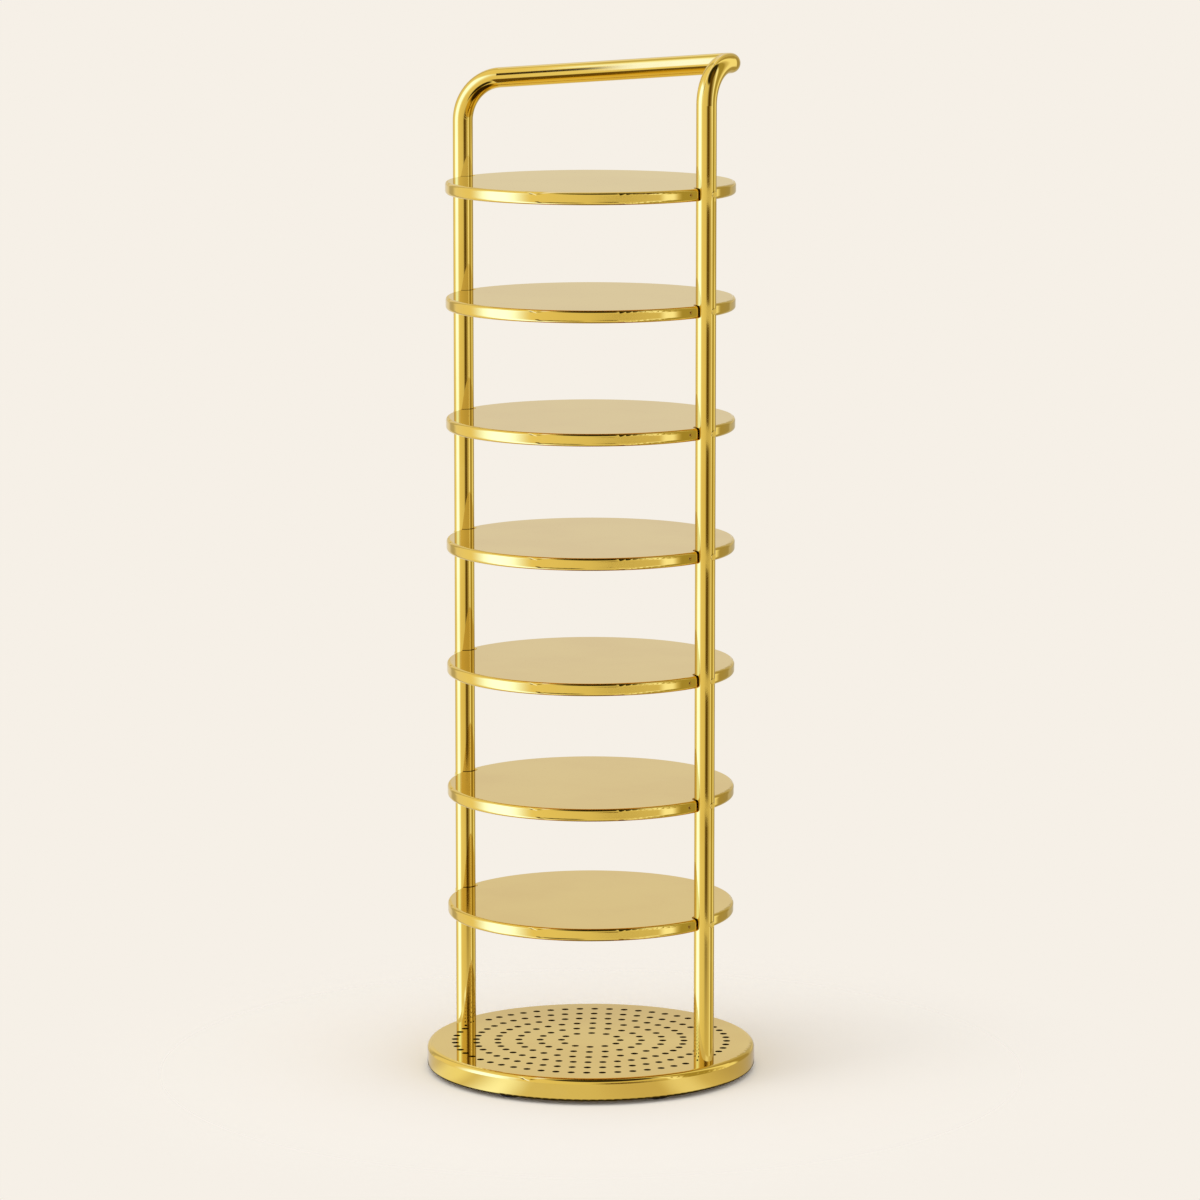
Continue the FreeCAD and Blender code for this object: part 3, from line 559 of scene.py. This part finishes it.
# %% [markdown]
# ## Floor
# The floor is real near the rack, where it holds the shadow, and fades into the background further
# out, which is simpler than matching a sheet of paper that curves up into a wall. The metal doesn't
# mirror it, so the stripes on the posts run down to the base, as they do on the real rack, where
# the pale floor and the pale wall look the same.

# %% Lay the floor
FLOOR_RADIUS, FLOOR_SIDES = 9.0, 96
FLOOR_FADE = (0.17, 0.6)
FLOOR_TONE = (0.96, 0.915, 0.85, 1.0)
FLOOR_ROUGHNESS = 0.6
FLOOR_GRAIN, FLOOR_RELIEF = 700.0, 0.00002


def stage_piece(name, shape, material, unseen_by):
    """An object for the stage, made from a bmesh and left out by some kinds of ray."""
    mesh = bpy.data.meshes.new(name)
    shape.to_mesh(mesh)
    shape.free()
    mesh.materials.append(material)
    piece = bpy.data.objects.new(name, mesh)
    bpy.context.scene.collection.objects.link(piece)
    for kind in unseen_by:
        setattr(piece, "visible_" + kind, False)
    return piece


def floor_material():
    material, start = new_material("floor_finish")
    spot = position(start)
    grain = noise(spot, FLOOR_GRAIN)
    bump = start.node("ShaderNodeBump", inputs={"Height": grain, "Distance": FLOOR_RELIEF})
    inputs = {"Color": FLOOR_TONE, "Roughness": FLOOR_ROUGHNESS, "Normal": bump}
    near = start.node("ShaderNodeBsdfDiffuse", inputs=inputs)
    far = start.node("ShaderNodeBsdfTransparent")
    surface = mix_shaders(start, radius_at(spot).between(*FLOOR_FADE), near, far)
    start.node("ShaderNodeOutputMaterial", inputs={"Surface": surface})
    return material


disc = bmesh.new()
bmesh.ops.create_circle(disc, cap_ends=True, segments=FLOOR_SIDES, radius=FLOOR_RADIUS)
floor = stage_piece("floor", disc, floor_material(), ["glossy"])
print("floor fades out from", FLOOR_FADE[0], "to", FLOOR_FADE[1], "m")

# %% [markdown]
# ## Floor ring
# The base's rim does mirror the floor just in front of it. A ring that only mirrored rays see holds
# a painted reflection of it: a pale floor with a glare at the left and a weaker one at the right.
# Under the rim it turns dark, a painted contact shadow, as the floor does where the two nearly
# touch. A mirrored real floor would show its own shadows there too, but not these glares, and it
# would spoil the posts.

# %% Make the ring's light
# from, to, width of both edges, colour
RING_TONE = (0.81, 0.765, 0.76, 1.0)
RING_LIGHT = {
    "front shade": (8, 34, 24, 12, (0.73, 0.67, 0.64, 1.0)),
    "right shade": (62, 170, 30, 20, (0.62, 0.56, 0.53, 1.0)),
    "left glare": (-50, -33, 18, 16, (1.22, 1.42, 2.5, 1.0)),
    "left edge glare": (-82, -62, 14, 12, (1.04, 1.06, 1.15, 1.0)),
    "right glare": (36, 50, 12, 12, (1.0, 1.02, 1.35, 1.0)),
}
CONTACT = (0.173, 0.184)       # from fully dark to open floor, in metres from the axis


def glow(start, colour):
    """Light in that colour, as plain as the background."""
    return start.node("ShaderNodeEmission", inputs={"Color": colour, "Strength": 1.0})


def ring_material():
    material, start = new_material("floor_ring_light")
    spot = position(start)
    turn = bearing(spot)
    light = RING_TONE
    for *edges, colour in RING_LIGHT.values():
        light = blend(start, card(turn, *edges), light, colour)
    # painted contact shadow: the ring's light turns to DARK under the base's rim, and opens outwards
    light = blend(start, radius_at(spot).between(*CONTACT), DARK, light)
    start.node("ShaderNodeOutputMaterial", inputs={"Surface": glow(start, light)})
    return material


print("light on the ring:", ", ".join(RING_LIGHT))

# %% [markdown]
# The ring and the flags further on are strips of flat faces, so one helper makes both: it joins
# pairs of corners, one pair after the other. The ring lies a hair above the floor, and its strip
# comes back to its first pair.

# %% Lay the ring
RING_INNER, RING_OUTER, RING_HEIGHT, RING_SIDES = 0.14, 0.30, 0.0005, 96


def add_strip(shape, pairs, closed=False):
    """Flat faces from each pair of corners to the next one."""
    rows = [[shape.verts.new(corner) for corner in pair] for pair in pairs]
    following = rows[1:] + rows[:1] if closed else rows[1:]
    for first, second in zip(rows, following):
        shape.faces.new((first[0], second[0], second[1], first[1]))


def ring_pair(step):
    """The outer and the inner corner of the ring at one step of its turn."""
    turn = 2 * math.pi * step / RING_SIDES
    return [(r * math.cos(turn), r * math.sin(turn), RING_HEIGHT) for r in (RING_OUTER, RING_INNER)]


band = bmesh.new()
add_strip(band, [ring_pair(step) for step in range(RING_SIDES)], closed=True)
hidden_from = ["camera", "diffuse", "shadow", "transmission"]
ring = stage_piece("floor_ring", band, ring_material(), hidden_from)
print("ring from", RING_INNER, "to", RING_OUTER, "m")

# %% [markdown]
# ## Lamp
# One large soft box high at the left throws the soft shadow to the right of the base. The painted
# soft box already shows in the metal, so this one is hidden from mirrored rays.

# %% Place the lamp
LAMP_BEARING, LAMP_DISTANCE, LAMP_HEIGHT, LAMP_SIZE = -62.0, 3.4, 3.6, 2.4
LAMP_WATTS = 4.4               # for each square metre of its face
LAMP_TINT = (1.0, 0.99, 0.97)

lamp = bpy.data.lights.new("high_softbox", "AREA")
lamp.shape = "SQUARE"
lamp.size = LAMP_SIZE
lamp.color = LAMP_TINT
lamp.energy = LAMP_WATTS * LAMP_SIZE ** 2
holder = bpy.data.objects.new("high_softbox", lamp)
holder.location = place_at(LAMP_BEARING, LAMP_DISTANCE) + Vector((0, 0, LAMP_HEIGHT))
holder.rotation_euler = (-holder.location).to_track_quat("-Z", "Y").to_euler()
holder.visible_camera = holder.visible_glossy = False
bpy.context.scene.collection.objects.link(holder)
print("lamp", round(lamp.energy, 1), "W")

# %% [markdown]
# ## Front flag
# Both posts have one dark brown line just right of their middle, and the shelf rims don't. A
# slatted flag in front of the rack gives that: each gap sits where one rim looks, so the rim sees
# the wall through it, while the posts between the shelves see the slats. The camera looks down on
# the rack, so a rim looks at a place that is lower than itself by the slope of the view.

# %% Work out the slats
FLAG_DISTANCE = 3.0
FLAG_LOW, FLAG_HIGH = -0.75, 0.88
RIM_MARGIN = 0.0032            # how much of the post beside a rim stays clear too

gaps = []
for part_name in sorted(name for name in nodes if name.startswith("shelf") and name.endswith("_pan")):
    low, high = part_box(part_name)
    middle, half = (low.z + high.z) / 2, (high.z - low.z) / 2
    rim_front = (high.x - low.x) / 2
    view_length = VIEW_DISTANCE - rim_front
    flag_length = FLAG_DISTANCE - rim_front
    gap_middle = middle - flag_length * (camera.location.z - middle) / view_length
    gap_half = (half + RIM_MARGIN) * (1 + flag_length / view_length)
    gaps.append((gap_middle - gap_half, gap_middle + gap_half))

slat_edges = [FLAG_LOW, *(edge for gap in sorted(gaps) for edge in gap), FLAG_HIGH]
slats = list(zip(slat_edges[::2], slat_edges[1::2]))
print(len(slats), "slats, gaps", [round(high - low, 3) for low, high in gaps], "m high")

# %% [markdown]
# The cloth is a strip bent round the rack at an even distance, once for each slat. Its sides and
# its foot fade out, because a line with a hard edge would look drawn on. Only mirrored rays see it,
# so it throws no shadow and the camera looks straight through it.

# %% Hang the front flag
FLAG_SPAN, FLAG_STEPS = (-4, 64), 24
FLAG_SIDES = (7, 42, 20, 36)           # the cloth's full part and how far its sides fade
FLAG_FOOT = (-0.73, -0.35)             # heights between which its foot fades
FLAG_BROWN = (0.135, 0.082, 0.012, 1.0), (0.11, 0.066, 0.008, 1.0)
FLAG_WEAVE = 60.0                      # patches in a metre


def flag_material(name, sides, foot):
    """Brown cloth whose sides and foot fade out."""
    material, start = new_material(name)
    spot = position(start)
    cloth = glow(start, blend(start, noise(spot, FLAG_WEAVE), *FLAG_BROWN))
    clear = start.node("ShaderNodeBsdfTransparent")
    cover = card(bearing(spot), *sides) * height_at(spot).between(*foot)
    surface = mix_shaders(start, cover, clear, cloth)
    start.node("ShaderNodeOutputMaterial", inputs={"Surface": surface})
    return material


def flag_pair(turn, distance, low, high):
    """The lower and the upper corner of the cloth at one angle."""
    place = place_at(turn, distance)
    return [(place.x, place.y, low), (place.x, place.y, high)]


def hang_flag(name, distance, span, heights, sides, foot):
    """Curved cloth round the rack, in one or more slats, that only mirrored rays see."""
    turns = [span[0] + (span[1] - span[0]) * step / FLAG_STEPS for step in range(FLAG_STEPS + 1)]
    cloth = bmesh.new()
    for low, high in heights:
        add_strip(cloth, [flag_pair(turn, distance, low, high) for turn in turns])
    material = flag_material(name + "_cloth", sides, foot)
    flag = stage_piece(name, cloth, material, ["camera", "diffuse", "shadow"])
    print(name, "has", len(flag.data.polygons), "faces")


hang_flag("front_flag", FLAG_DISTANCE, FLAG_SPAN, slats, FLAG_SIDES, FLAG_FOOT)

# %% [markdown]
# ## Small flag for the bend
# The dark line of the right post runs on into the bend above it, which leans back and so looks up,
# over the top of the front flag. A small flag close to the bend takes over there. It is close, so
# that it stays out of what the shelves mirror in views from behind.

# %% Hang the small flag
BEND_FLAG_DISTANCE, BEND_FLAG_SPAN = 0.24, (27, 61)
BEND_FLAG_HEIGHTS = (1.0135, 1.30)
BEND_FLAG_SIDES = (35, 51, 11, 14)
BEND_FLAG_FOOT = (1.012, 1.0135)       # below its lower edge, so its foot stays sharp

bend_places = BEND_FLAG_DISTANCE, BEND_FLAG_SPAN, [BEND_FLAG_HEIGHTS]
hang_flag("bend_flag", *bend_places, BEND_FLAG_SIDES, BEND_FLAG_FOOT)
